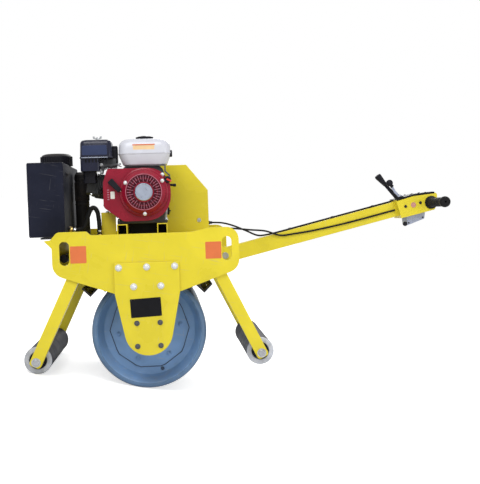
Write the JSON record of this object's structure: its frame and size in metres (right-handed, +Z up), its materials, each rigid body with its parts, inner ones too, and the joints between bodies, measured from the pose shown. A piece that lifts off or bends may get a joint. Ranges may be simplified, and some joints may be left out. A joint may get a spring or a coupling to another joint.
{
  "type": "walk-behind single-drum vibratory roller",
  "caption": "Walk-behind road roller: smooth drum between side plates, engine and water tank on a deck, small support rollers, and a folding handle with levers.",
  "frame": {"origin": "bottom centre of the machine's bounding box, on the ground it stands on", "axes": "+X towards the handle, along the machine's length; +Y to the operator's right, along the drum's axis; +Z up"},
  "size_m": [1.6052, 0.7406, 0.9442],
  "materials": {
    "yellow_paint": "gloss",
    "deck_paint": "gloss",
    "drum_paint": "satin",
    "black_paint": "satin",
    "crimson_paint": "gloss",
    "white_paint": "gloss",
    "bearing_iron": "rough",
    "bare_steel": "satin",
    "cast_aluminium": "rough",
    "black_plastic": "satin",
    "black_rubber": "matte"
  },
  "bodies": {
    "frame": {"air_cleaner": "black_plastic", "bearing_left": "bearing_iron", "bearing_right": "bearing_iron", "belt_guard": "yellow_paint", "carburettor": "cast_aluminium", "cylinder_head": "cast_aluminium", "drive_cable": "black_rubber", "drum_axle": "bare_steel", "engine_block": "cast_aluminium", "engine_deck": "deck_paint", "engine_rail_front": "yellow_paint", "engine_rail_rear": "yellow_paint", "exhaust_silencer": "black_paint", "fork_plate_left": "yellow_paint", "fork_plate_right": "yellow_paint", "front_cross_plate": "yellow_paint", "front_leg_left": "yellow_paint", "front_leg_right": "yellow_paint", "front_roller_axle": "bare_steel", "front_scraper": "black_paint", "fuel_cap": "black_plastic", "fuel_tank": "white_paint", "handle_bracket": "yellow_paint", "handle_pin": "bare_steel", "rear_cross_plate": "yellow_paint", "rear_leg_left": "yellow_paint", "rear_leg_right": "yellow_paint", "rear_roller_axle": "bare_steel", "rear_scraper": "black_paint", "recoil_cover": "crimson_paint", "side_plate_left": "yellow_paint", "side_plate_right": "yellow_paint", "sprinkler_bar": "black_plastic", "starter_grip": "black_plastic", "tank_bracket": "black_paint", "tank_cap": "black_plastic", "throttle_cable": "black_rubber", "water_hose": "black_rubber", "water_tank": "black_paint"},
    "drum": {"drum": "drum_paint"},
    "front_roller": {"front_roller": "black_paint"},
    "rear_roller": {"rear_roller": "black_paint"},
    "handle": {"handle_tube": "yellow_paint", "handle_head": "yellow_paint", "head_cover": "black_plastic", "grip_bar": "black_paint", "grip_left": "black_rubber", "grip_right": "black_rubber", "drive_lever": "bare_steel", "throttle_lever": "bare_steel", "control_box": "bare_steel"}
  },
  "joints": [
    {"name": "drum_spin", "type": "hinge", "parent": "frame", "child": "drum", "pos_m": [-0.26371, 0, 0.213], "axis": [0, 1, 0], "continuous": true},
    {"name": "front_roller_spin", "type": "hinge", "parent": "frame", "child": "front_roller", "pos_m": [-0.65049, 0, 0.051], "axis": [0, 1, 0], "continuous": true},
    {"name": "rear_roller_spin", "type": "hinge", "parent": "frame", "child": "rear_roller", "pos_m": [0.15548, 0, 0.20201], "axis": [0, 1, 0], "continuous": true},
    {"name": "handle_fold", "type": "hinge", "parent": "frame", "child": "handle", "pos_m": [-0.01101, 0, 0.52587], "axis": [0, -1, 0], "range_deg": [0, 70], "deforming": ["throttle_cable", "drive_cable"]}
  ]
}
